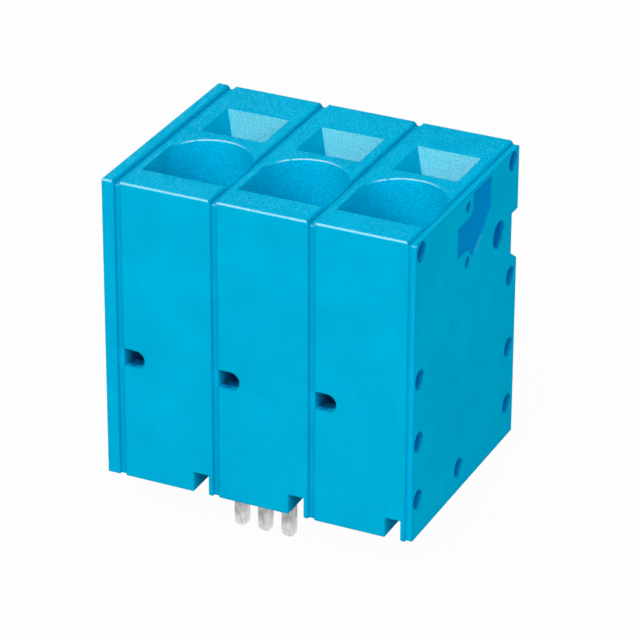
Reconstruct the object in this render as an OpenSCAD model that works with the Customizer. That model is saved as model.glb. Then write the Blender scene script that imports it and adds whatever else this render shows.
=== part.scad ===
// Spring terminal block for a printed circuit board.
// Like moulded pole housings stand side by side behind one end plate. Each holds a bent current bar
// with solder pins and a folded clamp spring, with a conductor entry and a screwdriver slot on top.
// Sizes are in millimetres, z = 0 is the board, and the front faces -y.

/* [Block] */
// Distance from one pole to the next
pitch = 10; // [10:0.1:12]
// Height of the housing above the board
body_h = 31.16; // [30:0.02:36]
// Depth of the housing from front to back
body_d = 24.4; // [24:0.05:28]
// Thickness of the end plate, with its recessed strip
end_plate_t = 1.93; // [1.5:0.01:2.5]

/* [Grooves between poles] */
// Width of the recessed strip on the right of each moulding
strip_w = 0.62; // [0.4:0.02:0.8]
// How far the strip lies below the top face
strip_drop = 0.36; // [0.2:0.01:0.8]
// How far the strip lies behind the front face
strip_back = 0.3; // [0.1:0.05:0.6]
// Chamfer along the top edge beside the strip
edge_chamfer = 0.33; // [0.1:0.01:0.4]
// Chamfer that breaks the other edges
edge_break = 0.07; // [0.05:0.01:0.15]
// Radius of the top front edge
edge_r = 0.25; // [0.1:0.05:0.6]
// Radius of the top back edge
back_edge_r = 0.12; // [0.05:0.01:0.3]

/* [Walls] */
// Right wall, from the chamber to the outer face
side_wall = 1.6; // [1.4:0.1:2]
// Front wall, from the front face to the chamber
front_wall = 2.8; // [2.6:0.1:3.2]
// Floor under the foot of the current bar
floor_t = 1; // [0.8:0.1:1.2]

/* [Conductor entry] */
// Front edge of the entry, behind the front face
entry_front = 3.4; // [3:0.1:3.8]
// Axis of the entry, behind the front face
entry_y = 8; // [7.5:0.1:8.2]
// Wall left of the entry at the top face
entry_left = 0.57; // [0.4:0.01:0.8]
// Depth of the drafted upper part
entry_depth = 6; // [5:0.1:6.5]
// How much the walls close in over that depth
entry_draft = 0.64; // [0.2:0.02:0.9]
// Depth of the conical lead-in below it
lead_depth = 3; // [2.5:0.1:3.5]
// Radius of the throat
throat_r = 3.2; // [2.6:0.1:3.3]
// Chamfer round the back rim
rim_chamfer = 0.1; // [0.05:0.05:0.3]

/* [Screwdriver slot] */
// Width at the top face
slot_w = 6.55; // [5.8:0.05:6.8]
// Length at the top face, front to back
slot_l = 5.7; // [5:0.1:6]
// Wall right of the slot
slot_right = 1.8; // [1.6:0.1:2.4]
// Land between the slot and the conductor entry
slot_land = 1.2; // [0.8:0.1:1.6]
// Width of the channel below the slot
channel_w = 4.7; // [4.2:0.1:5.2]
// Length of the channel below the slot, front to back
channel_l = 2.6; // [2.2:0.1:3.2]
// Depth of the sloping back wall
slot_slope_depth = 4.8; // [4:0.1:5.4]
// Depth of the sloping left wall
slot_side_depth = 3.75; // [3:0.05:4.5]
// Radius of the front corners
slot_corner_r = 0.2; // [0.1:0.1:1]
// How far the channel widens backwards at the ceiling
channel_flare = 2; // [1:0.1:2.4]

/* [Test slot and bottom channel] */
// Height of the test slot's centre above the board
test_z = 12.82; // [11:0.1:14]
// Height of the test slot
test_h = 1.95; // [1.6:0.05:2.2]
// Width of the test slot
test_w = 2.26; // [1.8:0.02:2.6]
// Thickness of the front wall round the test slot
test_wall = 0.95; // [0.8:0.05:1.4]
// Room round the test slot behind that wall
test_room = 0.5; // [0.3:0.05:0.6]
// Width of the channel under the housing
drain_w = 1.62; // [1.4:0.02:1.8]
// Height of the channel under the housing
drain_h = 2.1; // [1.8:0.1:2.2]
// Leg left between that channel and the strip
drain_leg = 0.46; // [0.3:0.02:0.6]
// Radius at the foot of that leg
drain_leg_r = 0.14; // [0.1:0.02:0.3]
// Roof over that channel, up to the floor of the chamber
drain_roof = 0.7; // [0.6:0.05:1]

/* [Marker groove in the back] */
// Depth of the groove
marker_depth = 1.5; // [1:0.1:1.8]
// Upper ledge of the groove, below the top face
marker_top = 6.92; // [6.4:0.1:7.4]
// Height of the groove's flat floor
marker_h = 4.22; // [3.6:0.1:4.6]
// Height of the slope that runs out of it
marker_slope = 1.1; // [0.8:0.1:1.6]

/* [Pegs and sockets] */
// Radius of the sockets along the front and the back
socket_r = 1; // [0.8:0.05:1.05]
// Radius of the large socket
socket_big_r = 1.4; // [1.1:0.05:1.5]
// Radius of the two small sockets
socket_small_r = 0.55; // [0.4:0.05:0.6]
// Depth of every socket
socket_depth = 1; // [0.9:0.05:1.2]
// Large peg, in front of the back face
big_peg_back = 4.65; // [4:0.05:5]
// Large peg, below the top face
big_peg_drop = 7.8; // [7.4:0.1:8]
// Back peg below the slope of the marker groove
groove_peg_drop = 1.36; // [1.2:0.02:2]
// Room at the end of each peg
peg_end_gap = 0.15; // [0.1:0.05:0.4]
// Gap round each peg
peg_gap = 0.04; // [0.02:0.01:0.08]
// Distance of the peg rows from the front and the back face
peg_inset = 1.47; // [1.3:0.01:1.6]
// Distance of the uppermost pegs below the top face
peg_top = 1.45; // [1.4:0.05:2]

/* [Window in the side] */
// Depth of the window
window_depth = 0.3; // [0.2:0.05:0.5]
// Front end of the window, behind the front face
window_front = 9.85; // [9.6:0.05:10.2]
// Front end of its upper part
window_step = 13.33; // [13.2:0.01:13.6]
// Back end of the window
window_back = 17.7; // [17:0.1:18]
// Top edge, below the top face
window_top = 0.65; // [0.6:0.05:0.8]
// Top edge of the front part, below the top face
window_shelf = 2.88; // [2.6:0.02:3]
// Bottom edge, below the top face
window_low = 6.05; // [5.8:0.05:6.2]
// Reach of the tongue below the bottom edge
window_tongue = 1.2; // [0.8:0.1:1.3]
// Rise of the slope at the back
window_slope = 1.95; // [1.6:0.05:2.2]
// Bevel of the inner corners
window_bevel = 0.6; // [0.4:0.05:0.7]

/* [Current bar] */
// Thickness of the bar and its pins
bar_t = 1; // [0.8:0.05:1.1]
// Front face of the upright tab, behind the front face of the block
bar_y = 11.4; // [11.3:0.05:11.6]
// Width of the upright tab
tab_w = 5.15; // [4.6:0.05:5.2]
// Bend radius at the middle of the bar's thickness
bar_bend = 1; // [0.8:0.1:1.2]
// Gap between the bar and the moulding
bar_gap = 0.15; // [0.1:0.05:0.2]

/* [Solder pins] */
// Distance from one pin to the next
pin_step = 2.5; // [2.4:0.05:2.6]
// Width of a pin
pin_w = 1.2; // [1:0.05:1.4]
// Length of the pins below the board face
pin_l = 4; // [3:0.1:5]
// Front row of pins, behind the front face
pin_front_y = 2.7; // [2.6:0.05:3]
// Distance between the front row and the rear row
pin_row_gap = 15.8; // [15:0.1:15.9]
// Middle pin of a pole, from the left face of its housing
pin_x = 3.65; // [3.5:0.05:3.8]
// Radius of the corners at the tip
pin_tip_r = 0.42; // [0.2:0.02:0.46]
// Length of the tapered tip
pin_taper = 1; // [0.6:0.1:1.4]

/* [Clamp spring] */
// Thickness of the strip
spring_t = 0.8; // [0.5:0.05:0.9]
// Width of the strip
spring_w = 7.4; // [7:0.1:7.6]
// Radius of the loop at the middle of the strip
loop_r = 4; // [3.6:0.05:4.1]
// Centre of the loop, behind the front face
loop_y = 14.9; // [14.7:0.05:15]
// Slope of the straight tail below the loop, from the upright
tail_angle = 50; // [46:1:54]
// Bend radius between tail and leg, at the middle of the strip
tail_bend = 1.5; // [1.2:0.1:1.8]
// Straight length of the leg that stays put
leg_l = 2.14; // [1.6:0.02:2.6]
// Room between the loop and the ceiling
spring_room = 1.3; // [1.1:0.1:1.6]
// Room between the loop and the back of the chamber
loop_room = 0.1; // [0.1:0.05:0.3]
// Room between the leg and the chamber floor
leg_room = 0.4; // [0.3:0.05:0.6]
// Gap between the spring and the bar
spring_gap = 0.15; // [0.1:0.05:0.25]
// Room on each side of the tab in the window of the upper leg
cage_gap = 0.32; // [0.25:0.01:0.4]
// Width of the bridge that closes the window
bridge_w = 1.35; // [1:0.05:1.6]
// Angle through which the spring opens
open_angle = 22; // [10:1:22]
// Radius of the moulded boss inside the loop
boss_r = 1.1; // [0.8:0.1:1.2]

/* [Hidden] */
$fn = 48;
poles = 3;
pins = 3;
over = 1;
lap = 0.1;
arc_steps = 12;
pin_tip_share = 0.6;
pin_root_z = 0.3;
block_w = end_plate_t + poles * pitch;
body_w = pitch - strip_w;
chamber_w = pitch - side_wall;
chamber_back = loop_y + loop_r + spring_t / 2 + loop_room;
chamber_floor = drain_h + drain_roof;
entry_r = (body_w - entry_left) / 2;
entry_x = entry_left + entry_r;
entry_low_r = entry_r - entry_draft;
entry_low_z = body_h - entry_depth;
throat_top_z = entry_low_z - lead_depth;
slot_x = pitch - slot_right - slot_w;
slot_y = entry_y + entry_r + slot_land;
plastic = [0.0, 0.62, 0.78];
tin = [0.76, 0.76, 0.75];
spring_steel = [0.62, 0.63, 0.65];

// Middle planes of the current bar
bar_back = bar_y + bar_t;
tab_mid_y = bar_y + bar_t / 2;
foot_mid_z = floor_t + bar_t / 2;
comb_w = (pins - 1) * pin_step + pin_w;
comb_x = pin_x - comb_w / 2;
tab_x = (chamber_w - tab_w) / 2;
foot_right = max(comb_x + comb_w, tab_x + tab_w);

// Course of the clamp spring: leg, bend, tail, loop and windowed leg
spring_x = (chamber_w - spring_w) / 2;
leg_y = bar_back + spring_gap + spring_t / 2;
leg_low_z = chamber_floor + leg_room;
bend_c = [leg_y + tail_bend, leg_low_z + leg_l];
hinge = bend_c + tail_bend * [-cos(tail_angle), sin(tail_angle)];
tail_l = (loop_y + loop_r * cos(tail_angle) - hinge[0]) / sin(tail_angle);
tail_top = hinge + tail_l * [sin(tail_angle), cos(tail_angle)];
loop_z = tail_top[1] + loop_r * sin(tail_angle);
arm_z = loop_z + loop_r;
ceiling_z = arm_z + spring_t / 2 + spring_room;
tab_top_z = ceiling_z - bar_gap;
cage_w = tab_w + 2 * cage_gap;
cage_front = bar_y - spring_gap;
arm_front = cage_front - bridge_w;
reach_z = arm_z + spring_t / 2 - hinge[1];
cage_back = hinge[0]
          + (reach_z * sin(open_angle) + bar_back + spring_gap - hinge[0]) / cos(open_angle);

// Peg and socket places on the side faces: depth from the front, height, radius
front_peg_z = [3.95, 10.1, 16.6];
back_peg_z = [3.65, 9.85, body_h - marker_top - marker_h - marker_slope - groove_peg_drop];
small_peg_y = 12.2;
small_peg_drop = [1.6, 7.3];
big_peg = [body_d - big_peg_back, body_h - big_peg_drop];
floor_socket = [11.1, 2.45];
joint_pegs = concat(
    [for (z = front_peg_z) [peg_inset, z, socket_r]],
    [for (z = back_peg_z) [body_d - peg_inset, z, socket_r]],
    [for (y = [peg_inset, body_d - peg_inset]) [y, body_h - peg_top, socket_r]],
    [for (drop = small_peg_drop) [small_peg_y, body_h - drop, socket_small_r]],
    [[big_peg[0], big_peg[1], socket_big_r]]);

// Puts block coordinates, from the front left corner, into the part's own frame
module placed(x = 0) {
    translate([x - block_w / 2, -body_d / 2, 0]) children();
}

function pole_x(i) = end_plate_t + (i - 1) * pitch;

// Draws a side view, with y across and z up, along x
module along_x(x, w) {
    translate([x, 0, 0]) rotate([90, 0, 90]) linear_extrude(w) children();
}

// Draws a front view, with x across and z up, along y
module along_y(y, l) {
    translate([0, y + l, 0]) rotate([90, 0, 0]) linear_extrude(l) children();
}

// Points of an arc round c from one angle to another
function arc(c, r, from, to) =
    [for (k = [0 : arc_steps]) c + r * [cos(from + (to - from) * k / arc_steps),
                                        sin(from + (to - from) * k / arc_steps)]];

// Side view of a bent strip, from the points along its two faces
module strip(left, right) {
    last = len(right) - 1;
    polygon(concat(left, [for (k = [0 : last]) right[last - k]]));
}

// Removes a square corner outside a quarter circle; towards points into the body
module corner_cut(p, r, towards) {
    translate(p) difference() {
        translate([towards[0] > 0 ? -over : -r, towards[1] > 0 ? -over : -r])
            square(r + over);
        translate(r * towards) circle(r);
    }
}

// Side outline of a moulding, drawn in by the given amounts at the top and the front
module side_outline(drop, inset) {
    top = body_h - drop;
    groove_y = body_d - marker_depth;
    groove_top = body_h - marker_top;
    groove_low = groove_top - marker_h;
    difference() {
        polygon([[inset, 0], [body_d, 0], [body_d, groove_low - marker_slope], [groove_y, groove_low],
                 [groove_y, groove_top], [body_d, groove_top], [body_d, top], [inset, top]]);
        corner_cut([inset, top], edge_r, [1, -1]);
        corner_cut([body_d, top], back_edge_r, [-1, -1]);
    }
}

// Square bar along an edge of the moulding at x, to chamfer it
module edge_bar(x, y, z, turn, length, chamfer) {
    side = chamfer * sqrt(2);
    translate([x, y, z]) rotate(turn) cube([side, side, length + 2 * over], center = true);
}

// Chamfers the top edge at x, and breaks the front and back edges there
module edge_chamfers(x, top, front, top_chamfer) {
    edge_bar(x, body_d / 2, top, [90, 45, 0], body_d, top_chamfer);
    for (y = [front, body_d])
        edge_bar(x, y, body_h / 2, [0, 0, 45], body_h, edge_break);
}

// Proud moulding of width w with its recessed strip on the right
module shell(w) {
    difference() {
        along_x(0, w - strip_w) side_outline(0, 0);
        edge_chamfers(0, body_h, 0, edge_break);
        edge_chamfers(w - strip_w, body_h, 0, edge_chamfer);
    }
    difference() {
        along_x(w - strip_w, strip_w) side_outline(strip_drop, strip_back);
        edge_chamfers(w, body_h - strip_drop, strip_back, edge_break);
    }
}

// Round sockets in the right face at x
module sockets(x) {
    places = concat(joint_pegs, [[floor_socket[0], floor_socket[1], socket_r]]);
    for (p = places)
        translate([x - socket_depth, p[0], p[1]]) rotate([0, 90, 0]) cylinder(h = socket_depth + over, r = p[2]);
}

module pegs() {
    peg_l = socket_depth - peg_end_gap;
    for (p = joint_pegs)
        translate([-peg_l, p[0], p[1]]) rotate([0, 90, 0]) cylinder(h = peg_l + lap, r = p[2] - peg_gap);
}

// Plan of the entry with half width r: square in front, half round behind
module entry_plan(r) {
    translate([entry_x, entry_y]) circle(r);
    translate([entry_x - r, entry_front]) square([2 * r, entry_y - entry_front]);
}

// Conductor entry: drafted mouth, conical lead-in and round throat
module conductor_entry() {
    translate([entry_x, entry_y, 0]) {
        translate([0, 0, entry_low_z]) cylinder(h = entry_depth, r1 = entry_low_r, r2 = entry_r);
        translate([0, 0, body_h - rim_chamfer])
            intersection() {
                cylinder(h = 2 * rim_chamfer, r1 = entry_r, r2 = entry_r + 2 * rim_chamfer);
                translate([-pitch / 2, 0, 0]) cube([pitch / 2 + entry_r, pitch, over]);
            }
        translate([0, 0, body_h]) cylinder(h = over, r = entry_r);
        translate([0, 0, ceiling_z - over]) cylinder(h = throat_top_z - ceiling_z + over + lap, r = throat_r);
    }
    along_y(entry_front, entry_y - entry_front)
        polygon([[entry_x - entry_low_r, entry_low_z], [entry_x + entry_low_r, entry_low_z],
                 [entry_x + entry_r, body_h], [entry_x + entry_r, body_h + over],
                 [entry_x - entry_r, body_h + over], [entry_x - entry_r, body_h]]);
    intersection() {
        translate([0, 0, throat_top_z]) linear_extrude(lead_depth) entry_plan(entry_low_r);
        translate([entry_x, entry_y, throat_top_z])
            cylinder(h = lead_depth, r1 = throat_r, r2 = throat_r + lead_depth);
    }
}

// Screwdriver slot: drafted mouth with rounded front corners over a channel to the chamber
module screwdriver_slot() {
    low = ceiling_z - over;
    right = slot_x + slot_w;
    intersection() {
        along_x(0, pitch)
            polygon([[slot_y, low], [slot_y + channel_l + channel_flare, low],
                     [slot_y + channel_l + channel_flare, ceiling_z],
                     [slot_y + channel_l, body_h - slot_slope_depth - channel_l],
                     [slot_y + channel_l, body_h - slot_slope_depth],
                     [slot_y + slot_l, body_h], [slot_y + slot_l, body_h + over], [slot_y, body_h + over]]);
        along_y(slot_y, slot_l)
            polygon([[right - channel_w, low], [right, low], [right, body_h + over],
                     [slot_x, body_h + over], [slot_x, body_h], [right - channel_w, body_h - slot_side_depth]]);
        translate([slot_x, slot_y, low]) linear_extrude(body_h - low + over) difference() {
            square([slot_w, slot_l]);
            corner_cut([0, 0], slot_corner_r, [1, 1]);
            corner_cut([slot_w, 0], slot_corner_r, [-1, 1]);
        }
    }
}

// Test slot, open towards the left neighbour, in a front wall that is thin there
module test_slot() {
    r = test_h / 2;
    along_y(-over, front_wall + 2 * over) {
        translate([test_w - r, test_z]) circle(r);
        translate([-over, test_z - r]) square([test_w - r + over, test_h]);
    }
    translate([-over, test_wall, test_z - r - test_room])
        cube([test_w + test_room + over, front_wall - test_wall + lap, test_h + 2 * test_room]);
}

// Shallow window moulded into the right face, beside the slot and the round entry
module side_window() {
    top = body_h - window_top;
    shelf = body_h - window_shelf;
    low = body_h - window_low;
    along_x(pitch - window_depth, window_depth + over) window_outline(top, shelf, low);
}

// Outline of the window: a wide upper part, a step forward and a slope, drawn round the small socket
module window_outline(top, shelf, low) {
    difference() {
        polygon([[window_front, shelf], [window_step - window_bevel, shelf],
                 [window_step, shelf + window_bevel], [window_step, top], [window_back, top],
                 [window_back, low + window_slope], [window_back - window_slope, low],
                 [small_peg_y + 2 * window_bevel + socket_small_r, low - window_tongue],
                 [small_peg_y + window_bevel + socket_small_r, low - window_tongue],
                 [small_peg_y, low], [window_front, low]]);
        translate([small_peg_y, body_h - small_peg_drop[1]]) circle(socket_small_r + lap);
    }
}

// Rear poles carry their pins towards the back, front poles towards the front
function pin_dir(i) = i % 2 == 0 ? -1 : 1;
function pin_y(i) = pin_dir(i) < 0 ? pin_front_y : pin_front_y + pin_row_gap;

// Pocket for the foot of the bar, and the slot in the floor for its pins
module bar_pocket(i) {
    outer = pin_y(i) + pin_dir(i) * (bar_t / 2 + bar_gap);
    inner = tab_mid_y - pin_dir(i) * (bar_t / 2 + bar_gap);
    slot_inner = pin_y(i) - pin_dir(i) * (bar_bend + bar_gap);
    translate([-over, min(outer, inner), floor_t])
        cube([foot_right + bar_gap + over, abs(outer - inner), chamber_floor - floor_t + lap]);
    translate([comb_x - bar_gap, min(outer, slot_inner), -over])
        cube([comb_w + 2 * bar_gap, abs(outer - slot_inner), floor_t + 2 * over]);
}

module pole_housing(i) {
    drain_x = body_w - drain_leg - drain_w;
    color(plastic) placed(pole_x(i)) {
        difference() {
            shell(pitch);
            difference() {
                translate([-over, front_wall, chamber_floor])
                    cube([chamber_w + over, chamber_back - front_wall, ceiling_z - chamber_floor]);
                translate([0, bar_back + boss_r + 2 * spring_gap, loop_z]) rotate([0, 90, 0])
                    cylinder(h = pitch, r = boss_r);
            }
            bar_pocket(i);
            conductor_entry();
            screwdriver_slot();
            test_slot();
            along_y(-over, body_d + 2 * over) {
                translate([drain_x, -over]) square([drain_w, drain_h + over]);
                corner_cut([drain_x + drain_w, 0], drain_leg_r, [1, 1]);
            }
            sockets(pitch);
            side_window();
        }
        pegs();
    }
}

module end_plate() {
    color(plastic) placed() difference() {
        shell(end_plate_t);
        sockets(end_plate_t);
    }
}

// Side view of the bar: upright tab, foot and pin, as one bent strip
module bar_side(i) {
    half = bar_t / 2;
    tip = half * pin_tip_share;
    run = abs(pin_y(i) - tab_mid_y);
    tab_c = [bar_bend, foot_mid_z + bar_bend];
    pin_c = [run - bar_bend, foot_mid_z - bar_bend];
    translate([tab_mid_y, 0]) mirror([pin_dir(i) < 0 ? 1 : 0, 0])
        strip(concat([[half, tab_top_z]],
                     arc(tab_c, bar_bend - half, 180, 270), arc(pin_c, bar_bend + half, 90, 0),
                     [[run + half, pin_taper - pin_l], [run + tip, -pin_l]]),
              concat([[-half, tab_top_z]],
                     arc(tab_c, bar_bend + half, 180, 270), arc(pin_c, bar_bend - half, 90, 0),
                     [[run - half, pin_taper - pin_l], [run - tip, -pin_l]]));
}

// Front view of the bar: narrow tab, full-width foot and a comb of round-tipped pins
module bar_front() {
    translate([tab_x, pin_root_z]) square([tab_w, tab_top_z - pin_root_z]);
    translate([comb_x, pin_root_z]) square([foot_right - comb_x, chamber_floor - pin_root_z]);
    for (k = [0 : pins - 1])
        translate([comb_x + k * pin_step, -pin_l]) difference() {
            square([pin_w, pin_l + pin_root_z]);
            corner_cut([0, 0], pin_tip_r, [1, 1]);
            corner_cut([pin_w, 0], pin_tip_r, [-1, 1]);
        }
}

module current_bar(i) {
    color(tin) placed(pole_x(i)) intersection() {
        along_x(comb_x, foot_right - comb_x) bar_side(i);
        along_y(0, body_d) bar_front();
    }
}

// Side view of the spring: leg on the bar, bend, tail, loop and upper leg
module spring_side() {
    half = spring_t / 2;
    loop_c = [loop_y, loop_z];
    strip(concat([[leg_y - half, leg_low_z]],
                 arc(bend_c, tail_bend + half, 180, 180 - tail_angle),
                 arc(loop_c, loop_r - half, -tail_angle, 90),
                 [[arm_front, arm_z - half]]),
          concat([[leg_y + half, leg_low_z]],
                 arc(bend_c, tail_bend - half, 180, 180 - tail_angle),
                 arc(loop_c, loop_r + half, -tail_angle, 90),
                 [[arm_front, arm_z + half]]));
}

module clamp_spring(i) {
    color(spring_steel) placed(pole_x(i)) difference() {
        along_x(spring_x, spring_w) spring_side();
        translate([(chamber_w - cage_w) / 2, cage_front, loop_z])
            cube([cage_w, cage_back - cage_front, loop_r + 2 * spring_t]);
    }
}

module pole_housing_1() { pole_housing(1); }
module pole_housing_2() { pole_housing(2); }
module pole_housing_3() { pole_housing(3); }
module current_bar_1() { current_bar(1); }
module current_bar_2() { current_bar(2); }
module current_bar_3() { current_bar(3); }
module clamp_spring_1() { clamp_spring(1); }
module clamp_spring_2() { clamp_spring(2); }
module clamp_spring_3() { clamp_spring(3); }

end_plate();
pole_housing_1();
pole_housing_2();
pole_housing_3();
current_bar_1();
current_bar_2();
current_bar_3();
clamp_spring_1();
clamp_spring_2();
clamp_spring_3();
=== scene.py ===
# %% [markdown]
# # A spring terminal block, dressed for its picture
#
# The real object is a row of blue moulded housings, pressed together side by side and soldered to a
# board by tinned pins. Its shapes are already modelled to size, so this lesson is about the last step:
# soft edges, the grain of moulded plastic, bright tin, spring steel, and a plain studio around them.

# %% Load the fixed model
import math

import bpy
from mathutils import Matrix, Vector


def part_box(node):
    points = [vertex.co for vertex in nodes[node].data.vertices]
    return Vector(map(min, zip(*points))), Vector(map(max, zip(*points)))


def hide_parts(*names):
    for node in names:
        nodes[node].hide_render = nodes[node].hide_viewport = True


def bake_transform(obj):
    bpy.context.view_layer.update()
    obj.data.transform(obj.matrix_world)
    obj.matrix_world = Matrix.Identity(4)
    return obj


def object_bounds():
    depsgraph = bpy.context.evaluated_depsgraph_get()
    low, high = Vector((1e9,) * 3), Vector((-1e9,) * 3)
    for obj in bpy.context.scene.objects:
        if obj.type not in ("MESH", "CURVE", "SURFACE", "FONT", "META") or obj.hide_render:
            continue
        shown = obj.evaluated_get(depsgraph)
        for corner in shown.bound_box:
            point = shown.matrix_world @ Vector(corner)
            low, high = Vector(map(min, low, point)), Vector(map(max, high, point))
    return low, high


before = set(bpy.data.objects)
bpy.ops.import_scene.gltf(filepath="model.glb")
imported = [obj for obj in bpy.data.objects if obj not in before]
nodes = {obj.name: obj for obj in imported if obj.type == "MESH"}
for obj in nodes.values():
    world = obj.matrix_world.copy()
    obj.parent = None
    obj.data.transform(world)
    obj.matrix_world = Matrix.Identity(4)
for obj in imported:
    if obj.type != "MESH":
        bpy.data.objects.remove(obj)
cad_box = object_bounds()
MM = 0.001
print("nodes:", ", ".join(sorted(nodes)))

# %% [markdown]
# ## The camera
#
# A product picture of a small connector is taken from far away with a long lens, so that its upright
# edges stay nearly parallel. The camera is placed by the angles at which it looks down on the block,
# its distance, and the point on which it is centred. That reads better than a rotation matrix, and one
# of the numbers can be changed without spoiling the others.

# %% Camera
VIEW_AZIMUTH = math.radians(25.095)
VIEW_ELEVATION = math.radians(27.335)
VIEW_ROLL = math.radians(0.203)
VIEW_DISTANCE = 369.58 * MM
VIEW_CENTRE = Vector((0.855, -0.075, 14.468)) * MM
LENS_MM = 217.22
SENSOR_MM = 36.0
NEAREST_SEEN = 10 * MM


def towards(azimuth, elevation):
    """Unit vector from the block to a viewer or a lamp; azimuth 0 is straight in front."""
    flat = math.cos(elevation)
    return Vector((math.sin(azimuth) * flat, -math.cos(azimuth) * flat, math.sin(elevation)))


def aim(obj, target, roll=0.0):
    """Turns a camera or lamp so that it looks at a point."""
    turn = (target - obj.location).to_track_quat("-Z", "Y").to_matrix().to_4x4()
    obj.rotation_euler = (turn @ Matrix.Rotation(roll, 4, "Z")).to_euler()


camera_data = bpy.data.cameras.new("camera")
camera_data.lens = LENS_MM
camera_data.sensor_width = SENSOR_MM
camera_data.clip_start = NEAREST_SEEN
camera = bpy.data.objects.new("camera", camera_data)
camera.location = VIEW_CENTRE + VIEW_DISTANCE * towards(VIEW_AZIMUTH, VIEW_ELEVATION)
bpy.context.scene.collection.objects.link(camera)
aim(camera, VIEW_CENTRE, VIEW_ROLL)
bpy.context.scene.camera = camera
print("camera at", [round(c / MM, 1) for c in camera.location], "mm")

# %% [markdown]
# ## Shader maths as sums
#
# A finish is a recipe of nodes: noise, ranges, products and sums. Wiring each Math node by hand hides
# the formula, so a small class wraps a socket and lets Python's own operators add those nodes. Every
# other kind of node comes from its one method, add.

# %% A socket that can be used in a sum
class Field:
    """A socket whose value changes over a surface."""

    def __init__(self, tree, socket):
        self.tree = tree
        self.socket = socket

    def add(self, kind, settings=None, inputs=None, output=0):
        """Adds a node: first its settings, then the values or links of its sockets."""
        node = self.tree.nodes.new(kind)
        for name, value in (settings or {}).items():
            setattr(node, name, value)
        for name, value in (inputs or {}).items():
            if isinstance(value, Field):
                self.tree.links.new(value.socket, node.inputs[name])
            else:
                node.inputs[name].default_value = value
        return Field(self.tree, node.outputs[output]) if node.outputs else None

    def math(self, operation, first, second):
        """Adds a Math node on two values."""
        return self.add("ShaderNodeMath", {"operation": operation}, {0: first, 1: second})

    def __add__(self, other):
        return self.math("ADD", self, other)

    def __radd__(self, other):
        return self.math("ADD", other, self)

    def __sub__(self, other):
        return self.math("SUBTRACT", self, other)

    def __rsub__(self, other):
        return self.math("SUBTRACT", other, self)

    def __mul__(self, other):
        return self.math("MULTIPLY", self, other)

    def __rmul__(self, other):
        return self.math("MULTIPLY", other, self)


print("operators ready: + - *")

# %% [markdown]
# A few helpers give the other nodes that the finishes share a plain name. The Mix node has sockets of the
# same name for numbers and for colours, so those for colours are picked by their places.

# %% Helpers for the finishes
PLAIN_DETAIL, MIDDLE_DETAIL, FINE_DETAIL = 1.0, 2.0, 3.0
MIX_SHARE, MIX_FIRST, MIX_SECOND, MIX_COLOUR = 0, 6, 7, 2


def size(value):
    """A value without its sign."""
    return value.math("ABSOLUTE", value, 0.0)


def least(first, second):
    """The smaller of two values."""
    return first.math("MINIMUM", first, second)


def most(first, second):
    """The larger of two values."""
    return first.math("MAXIMUM", first, second)


def part(vector, axis):
    """One of the parts X, Y or Z of a vector."""
    return vector.add("ShaderNodeSeparateXYZ", {}, {"Vector": vector}, axis)


def noise(where, lump, detail, roughness=0.5):
    """Noise between 0 and 1 with lumps of about the given size in metres."""
    return where.add("ShaderNodeTexNoise", {}, {"Vector": where, "Scale": 1 / lump, "Detail": detail,
                                               "Roughness": roughness})


def spread(value, low, high):
    """Stretches a value so that low becomes 0 and high becomes 1, clipped."""
    return value.add("ShaderNodeMapRange", {"clamp": True},
                     {"Value": value, "From Min": low, "From Max": high})


def blend_colours(share, first, second):
    """The first colour where share is 0, the second where it is 1."""
    return share.add("ShaderNodeMix", {"data_type": "RGBA"},
                     {MIX_SHARE: share, MIX_FIRST: first, MIX_SECOND: second}, MIX_COLOUR)


def new_finish(name):
    """An empty material and the place on the surface, in metres, as its first field."""
    material = bpy.data.materials.new(name)
    material.use_nodes = True
    material.node_tree.nodes.clear()
    return material, Field(material.node_tree, None).add("ShaderNodeTexCoord", output="Object")


def close_finish(shader):
    """Joins the surface shader to the output of its material."""
    shader.add("ShaderNodeOutputMaterial", inputs={"Surface": shader})


print("noise details:", PLAIN_DETAIL, MIDDLE_DETAIL, FINE_DETAIL)

# %% [markdown]
# ## Soft edges
#
# No moulded or stamped edge is perfectly sharp: each catches a thin line of light. The larger radii are
# in the model itself. The last tenth of a millimetre could be rounded by a Bevel modifier, but that makes
# a mess of triangles round the pegs and sockets, so a Bevel node bends the normal at every edge instead.
# A bump of fine grain then goes on top of it.

# %% A normal that is soft at the edges
BEVEL_SAMPLES = 6


def grained_normal(where, radius, height):
    """Normal rounded at the edges by radius, with a height field in metres on top."""
    rounded = where.add("ShaderNodeBevel", {"samples": BEVEL_SAMPLES}, {"Radius": radius})
    return where.add("ShaderNodeBump", {}, {"Strength": 1.0, "Distance": 1.0, "Height": height,
                                           "Normal": rounded})


print("edge samples:", BEVEL_SAMPLES)

# %% [markdown]
# ## Moulded plastic
#
# The housings are a blue polyamide moulding. Six places on it differ from the rest by painted light or shade
# in their colour, and each is found by a mask, from where a point lies and which way it faces, so that no
# texture has to be painted. A mask is 1 on its place and 0 elsewhere, and each pair of values below says
# where it starts to change and where it ends.
#
# The first two places are edges: those along the top get a painted highlight, and the chamfers beside each
# joint get painted shade, where the gap shades them. The flat sloping wall of a slot leans as an edge does,
# so it gets a mask of its own.

# %% Edges and joints
PITCH = 10 * MM
RIGHT_X, BACK_Y, TOP_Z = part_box("pole_housing_3")[1]
HIGHLIGHT_HEIGHT = (TOP_Z - 0.27 * MM, TOP_Z - 0.162 * MM)
ROUNDED_SLOPE = (0.35, 0.5)
SLOT_SLOPE = 0.543
SLOT_SLACK = (0.01, 0.02)
CHAMFER_TURN = (0.5, 0.65)
JOINT_REACH = (0.75 * MM, 0.8625 * MM)


def sloping_wall(slope):
    """1 on the flat sloping wall of the slot, which gets a painted sheen."""
    return 1 - spread(size(slope - SLOT_SLOPE), *SLOT_SLACK)


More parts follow.
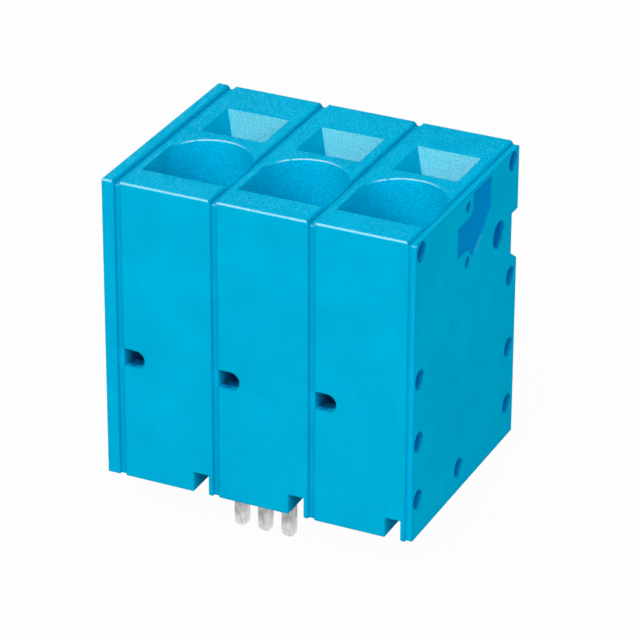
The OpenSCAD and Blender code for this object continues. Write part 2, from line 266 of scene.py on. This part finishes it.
def painted_highlight_edge(where, slope):
    """1 on the rounded edges along the top, where a highlight is painted, but not on the slot's sloping
    wall.
    """
    near_top = spread(part(where, "Z"), *HIGHLIGHT_HEIGHT)
    return spread(slope, *ROUNDED_SLOPE) * (1 - sloping_wall(slope)) * near_top


def painted_joint_shade(seam, right, back, up):
    """1 on the chamfers that run down into a joint, which get painted shade."""
    chamfer = spread(least(right, most(up, size(back))), *CHAMFER_TURN)
    return chamfer * (1 - spread(seam, *JOINT_REACH))


print("top at", round(TOP_Z / MM, 2), "mm, right side at", round(RIGHT_X / MM, 3), "mm")

# %% [markdown]
# The floor of the side window and the walls of the round peg sockets near it get painted shade, a deeper
# blue, as they lie in recesses that get little light. Both run in from the side of a housing, so the
# distance to the nearest joint tells how deep a point lies. The sockets keep a margin to the outside of the
# housing, which tells their walls from its front, back and top.

# %% Window and sockets
FACING_RIGHT = (0.8, 0.9)
WINDOW_DEPTH = 0.3 * MM
WINDOW_SLACK = (0.05 * MM, 0.06 * MM)
SOCKET_REACH = (1.05 * MM, 1.1 * MM)
SOCKET_SHADE = (0.1 * MM, 0.55 * MM)
SOCKET_MARGIN = (0.4 * MM, 0.36 * MM)
SOCKET_TURN = (0.3, 0.5)


def painted_window_shade(seam, right):
    """1 on the floor of the side window, where shade is painted."""
    return spread(right, *FACING_RIGHT) * (1 - spread(size(seam - WINDOW_DEPTH), *WINDOW_SLACK))


def within(from_middle, half_size):
    """1 where a point keeps the margin to two faces that lie half_size from the middle."""
    return 1 - spread(size(from_middle), *(half_size - margin for margin in SOCKET_MARGIN))


def sunk_wall(where, seam, right, back):
    """1 on walls that run in from the side of a housing, but not in the groove of its back."""
    kept_in = within(part(where, "Y"), BACK_Y) * within(part(where, "Z") - TOP_Z / 2, TOP_Z / 2)
    near = 1 - spread(seam, *SOCKET_REACH)
    return kept_in * near * (1 - spread(size(right), *SOCKET_TURN)) * (1 - spread(back, *SOCKET_TURN))


print("window", round(WINDOW_DEPTH / MM, 2), "mm deep, sockets to", round(SOCKET_REACH[0] / MM, 2), "mm")

# %% [markdown]
# The steep walls of the conductor entries and of the slots get painted light, a paler blue where the light
# falls into them. Those that face right lie in the shade and keep the plain blue.

# %% Walls of the holes
TILTED_UP = (0.01, 0.06)
LEVEL_ENOUGH = (0.25, 0.4)
SHADED_TURN = (0.1, 0.7)


def painted_light_hole(right, up):
    """1 on the steep walls of the holes, where light is painted, less where they face right."""
    steep = spread(up, *TILTED_UP) * (1 - spread(up, *LEVEL_ENOUGH))
    return steep * (1 - spread(right, *SHADED_TURN))


print("steep walls face up by", TILTED_UP[1], "to", LEVEL_ENOUGH[0])

# %% [markdown]
# The colour has three layers. The melt leaves faint cloudy flow marks in the blue. The six places come next,
# each with a blue of its own that paints light or shade. Last comes the grain of the mould, which is fine
# noise that lightens and darkens the colour a little. It could be painted on an image, but noise needs no
# unwrapping.

# %% Colours of the plastic
BLUE = (0.0, 0.438, 0.716, 1.0)
BLUE_PALE = (0.0, 0.488, 0.790, 1.0)
# painted highlight along the rounded top edges
BLUE_PAINTED_HIGHLIGHT = (0.30, 0.70, 0.90, 1.0)
# painted shade in the chamfers beside each joint
BLUE_JOINT_SHADE = (0.0, 0.31, 0.58, 1.0)
# painted shade on the floor of the side window
BLUE_WINDOW_SHADE = (0.0, 0.285, 0.68, 1.0)
# painted sheen on the slot's sloping wall
BLUE_PAINTED_SHEEN = (0.025, 0.535, 0.715, 1.0)
# painted light on the steep walls of the holes
BLUE_PAINTED_LIGHT = (0.0, 0.56, 0.86, 1.0)
# painted shade inside the peg sockets
BLUE_SOCKET_SHADE = (0.0, 0.22, 0.60, 1.0)
LARGE_CLOUD = 6 * MM
SMALL_CLOUD = 1.6 * MM
LARGE_SHARE = 0.7
SMALL_SHARE = 0.3
CLOUD_CONTRAST = (0.35, 0.65)
GRAIN_TINT = 0.75


def plastic_colour(where, grain, grainy, places):
    """Cloudy blue, then the painted light or shade of each place, then the tint of the grain."""
    large = noise(where, LARGE_CLOUD, FINE_DETAIL)
    small = noise(where, SMALL_CLOUD, MIDDLE_DETAIL)
    clouds = large * LARGE_SHARE + small * SMALL_SHARE
    colour = blend_colours(spread(clouds, *CLOUD_CONTRAST), BLUE, BLUE_PALE)
    for mask, blue in places:
        colour = blend_colours(mask, colour, blue)
    tint = 1 + grainy * (grain - 0.5) * GRAIN_TINT
    return where.add("ShaderNodeVectorMath", {"operation": "SCALE"}, {0: colour, "Scale": tint})


print("plain blue:", BLUE[:3])

# %% [markdown]
# The flat walls of the mould were spark-eroded, so they print dull, while the slopes that face up and
# forward were polished and print shiny. One shader with a mean gloss would show neither, so two shaders
# are mixed by how far the surface leans between upright and level. The grain is coarse on the top and in
# the drafted holes and far too small to model, so it is a bump. A few of its lumps catch the light.

# %% Blue moulded plastic
PLASTIC_EDGE_R = 0.14 * MM
GRAIN_LUMP = 0.14 * MM
GRAIN_DEPTH = 0.08 * MM
SMOOTH_DEPTH = 0.006 * MM
WAVE_LUMP = 2.4 * MM
WAVE_DEPTH = 0.02 * MM
POLISHED_SLOPE = (0.1, 0.4)
SMOOTHED_SLOPE = (0.2, 0.5)
SMOOTHED_SHARE = 0.4
TURNED_LEFT = (-0.4, -0.1)
SPARKLE_GRAIN = (0.5, 0.7)
SPARKLE_UP = (0.6, 0.9)
SPARKLE_SHARE = 0.22
DULL_ROUGH, DULL_SPREAD, DULL_SPECULAR = 0.6, 0.2, 0.0
SHINY_ROUGH, SHINY_SPREAD, SHINY_SPECULAR = 0.12, 0.12, 0.6


def plastic_places(where, seam, slope, right, back, up):
    """Masks of the six places with their blues of painted light and shade, and the mask of the slopes that
    were polished.
    """
    not_left = spread(right, *TURNED_LEFT)
    sunk = sunk_wall(where, seam, right, back)
    # painted highlight on the top edges, less where they turn left
    places = ((painted_highlight_edge(where, slope) * not_left, BLUE_PAINTED_HIGHLIGHT),
              # painted shade on the joint chamfers
              (painted_joint_shade(seam, right, back, up), BLUE_JOINT_SHADE),
              # painted shade on the window floor
              (painted_window_shade(seam, right), BLUE_WINDOW_SHADE),
              # painted sheen on the slot's sloping wall
              (sloping_wall(slope), BLUE_PAINTED_SHEEN),
              # painted light on the steep hole walls
              (painted_light_hole(right, up), BLUE_PAINTED_LIGHT),
              # painted shade in the sockets
              (sunk * spread(seam, *SOCKET_SHADE), BLUE_SOCKET_SHADE))
    return places, spread(slope, *POLISHED_SLOPE) * not_left * (1 - sunk)


def moulded_plastic():
    material, where = new_finish("blue_moulded_plastic")
    facing = where.add("ShaderNodeTexCoord", output="Normal")
    right, back, up = (part(facing, axis) for axis in "XYZ")
    slope = least(size(back), size(up))
    seam = where.math("PINGPONG", part(where, "X") - RIGHT_X, PITCH / 2)
    places, polished = plastic_places(where, seam, slope, right, back, up)
    grain = noise(where, GRAIN_LUMP, PLAIN_DETAIL)
    grainy = spread(up, *TILTED_UP) * (1 - spread(slope, *SMOOTHED_SLOPE) * SMOOTHED_SHARE)
    waves = noise(where, WAVE_LUMP, PLAIN_DETAIL)
    height = grain * (SMOOTH_DEPTH + grainy * GRAIN_DEPTH) + waves * WAVE_DEPTH
    both = {"Base Color": plastic_colour(where, grain, grainy, places),
            "Normal": grained_normal(where, PLASTIC_EDGE_R, height)}
    dull = where.add("ShaderNodeBsdfPrincipled", inputs={
        **both, "Roughness": DULL_ROUGH + grain * DULL_SPREAD, "Specular IOR Level": DULL_SPECULAR})
    shiny = where.add("ShaderNodeBsdfPrincipled", inputs={
        **both, "Roughness": SHINY_ROUGH + grain * SHINY_SPREAD, "Specular IOR Level": SHINY_SPECULAR})
    sparkle = spread(grain, *SPARKLE_GRAIN) * spread(up, *SPARKLE_UP) * SPARKLE_SHARE
    close_finish(where.add("ShaderNodeMixShader", inputs={0: polished + sparkle, 1: dull, 2: shiny}))
    return material


plastic = moulded_plastic()
print("finish:", plastic.name, len(plastic.node_tree.nodes), "nodes")

# %% [markdown]
# ## Tin and spring steel
#
# The pins are stamped copper with bright tin. Tin is soft and picks up fine rubbing marks along the pin,
# which stretched noise gives. The springs are rolled steel strip, darker and smoother, with rolling lines
# across their width. Both get painted shade towards their upper end, where the housing shades them.

# %% Metals
TIN = (0.86, 0.86, 0.85, 1.0)
# the dark end of the dull marks, and of the painted shade near the housing
TIN_DULL_AND_SHADED = (0.26, 0.26, 0.26, 1.0)
STEEL = (0.50, 0.51, 0.53, 1.0)
STEEL_DARK = (0.36, 0.37, 0.39, 1.0)
METAL_EDGE_R = 0.08 * MM
STREAK_LUMP = 0.25 * MM
STREAK_DEPTH = 0.01 * MM
STREAK_ROUGHNESS = 0.6
STAIN_LUMP = 0.9 * MM
STREAK_SHARE = 0.4
STAIN_SHARE = 0.6
MARK_CONTRAST = (0.38, 0.62)
MARK_SHARE = 0.5
SHADE_SHARE = 0.5
DULL_ROUGHENS = 0.15


def streaked_metal(name, bright, dull, stretch, rough, shaded_heights):
    """Metal with streaks along the axis in which stretch is small, and painted shade from one height to
    another.
    """
    material, where = new_finish(name)
    pulled = where.add("ShaderNodeVectorMath", {"operation": "MULTIPLY"}, {0: where, 1: stretch})
    streaks = noise(pulled, STREAK_LUMP, FINE_DETAIL, STREAK_ROUGHNESS)
    stains = noise(where, STAIN_LUMP, MIDDLE_DETAIL)
    marks = spread(streaks * STREAK_SHARE + stains * STAIN_SHARE, *MARK_CONTRAST)
    # dull marks, plus painted shade between two heights
    dull_and_shaded = marks * MARK_SHARE + spread(part(where, "Z"), *shaded_heights) * SHADE_SHARE
    normal = grained_normal(where, METAL_EDGE_R, streaks * STREAK_DEPTH)
    close_finish(where.add("ShaderNodeBsdfPrincipled", {}, {
        "Base Color": blend_colours(dull_and_shaded, bright, dull), "Metallic": 1.0,
        "Roughness": rough + dull_and_shaded * DULL_ROUGHENS, "Normal": normal}))
    return material


tin = streaked_metal("bright_tin", TIN, TIN_DULL_AND_SHADED, stretch=(1.0, 1.0, 0.15), rough=0.30,
                     shaded_heights=(-3.4 * MM, -1.2 * MM))
steel = streaked_metal("spring_steel_strip", STEEL, STEEL_DARK, stretch=(0.12, 1.0, 1.0), rough=0.28,
                       shaded_heights=(5 * MM, 25 * MM))
print("finishes:", tin.name, steel.name)

# %% [markdown]
# ## Handing out the finishes
#
# The end plate, each housing and each bar is one piece of one material, so it gets one finish. The springs
# wait for the next step, because they are copies of their nodes.

# %% Plastic and tin
FINISH_OF = {"end_plate": plastic, "pole_housing": plastic, "current_bar": tin}


def dress(obj, material):
    obj.data.materials.clear()
    obj.data.materials.append(material)


for kind, finish in FINISH_OF.items():
    for name in sorted(nodes):
        if name.startswith(kind):
            dress(nodes[name], finish)
            print(name, "is", finish.name)

# %% [markdown]
# ## The springs
#
# A screwdriver opens the clamp by bending the spring, but the joint of the model is a plain hinge. Each
# spring is drawn as a copy of its node, in spring steel, and the node itself is hidden.

for pole in (1, 2, 3):
    node = f"clamp_spring_{pole}"
    spring = bpy.data.objects.new(f"spring_strip_{pole}", nodes[node].data.copy())
    bpy.context.scene.collection.objects.link(spring)
    dress(spring, steel)
    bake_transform(spring)
    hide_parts(node)
    print(spring.name, "bends between block and", f"clamp_{pole}")

# %% [markdown]
# ## Floor and light
#
# The picture is a cut-out on white, so the floor is a plain pale sheet that the camera sees as white,
# and which still takes the shadow of the block. Real white would throw a lot of light up the sides, so the
# floor is grey paper to the light, and white only where the camera sees it, straight, mirrored or through
# something clear.

# %% Floor
WHITE = (1.0, 1.0, 1.0, 1.0)
FLOOR_SIZE = 3.0
FLOOR_COLOUR = (0.5, 0.5, 0.5, 1.0)
FLOOR_WHITE_SHARE = 0.97


def floor_finish():
    material, where = new_finish("white_floor")
    rays = ("Is Camera Ray", "Is Glossy Ray", "Is Transmission Ray")
    seen, mirrored, through = (where.add("ShaderNodeLightPath", output=ray) for ray in rays)
    paper = where.add("ShaderNodeBsdfDiffuse", inputs={"Color": FLOOR_COLOUR})
    white = where.add("ShaderNodeEmission", inputs={"Color": WHITE, "Strength": 1.0})
    share = (seen + mirrored + through) * FLOOR_WHITE_SHARE
    close_finish(where.add("ShaderNodeMixShader", inputs={0: share, 1: paper, 2: white}))
    return material


floor_z = cad_box[0][2]
half = FLOOR_SIZE / 2
floor_mesh = bpy.data.meshes.new("floor")
floor_mesh.from_pydata([(-half, -half, floor_z), (half, -half, floor_z), (half, half, floor_z),
                        (-half, half, floor_z)], [], [(0, 1, 2, 3)])
floor = bpy.data.objects.new("floor", floor_mesh)
floor.data.materials.append(floor_finish())
bpy.context.scene.collection.objects.link(floor)
print("floor at", round(floor_z / MM, 2), "mm")

# %% [markdown]
# The main softbox stands in front, high up: it puts the bright line on the front edges and lights the
# sloping walls of the screwdriver slots. Three weaker ones light the right side, the top and the back, and
# the rest is even light from all round. Their levels are plain, so a colour renders about as it is written.

# %% Lamps and world
LAMP_DISTANCE = 0.60
WORLD_LEVEL = 0.10


def softbox(name, azimuth, elevation, side, level):
    """A square softbox, placed by angles in degrees, whose face is level times as bright as white."""
    lamp = bpy.data.lights.new(name, "AREA")
    lamp.shape = "SQUARE"
    lamp.size = side
    lamp.energy = level * math.pi * side * side
    obj = bpy.data.objects.new(name, lamp)
    obj.location = VIEW_CENTRE + LAMP_DISTANCE * towards(math.radians(azimuth), math.radians(elevation))
    bpy.context.scene.collection.objects.link(obj)
    aim(obj, VIEW_CENTRE)


softbox("key_softbox", azimuth=-10, elevation=43, side=0.40, level=4.75)
softbox("side_softbox", azimuth=68, elevation=18, side=0.45, level=2.85)
softbox("top_softbox", azimuth=35, elevation=72, side=0.40, level=1.55)
softbox("back_softbox", azimuth=-135, elevation=22, side=0.45, level=2.6)
world = bpy.data.worlds.new("studio")
bpy.context.scene.world = world
world.use_nodes = True
background = world.node_tree.nodes["Background"]
background.inputs["Color"].default_value = WHITE
background.inputs["Strength"].default_value = WORLD_LEVEL
bpy.context.scene.view_settings.view_transform = "Standard"
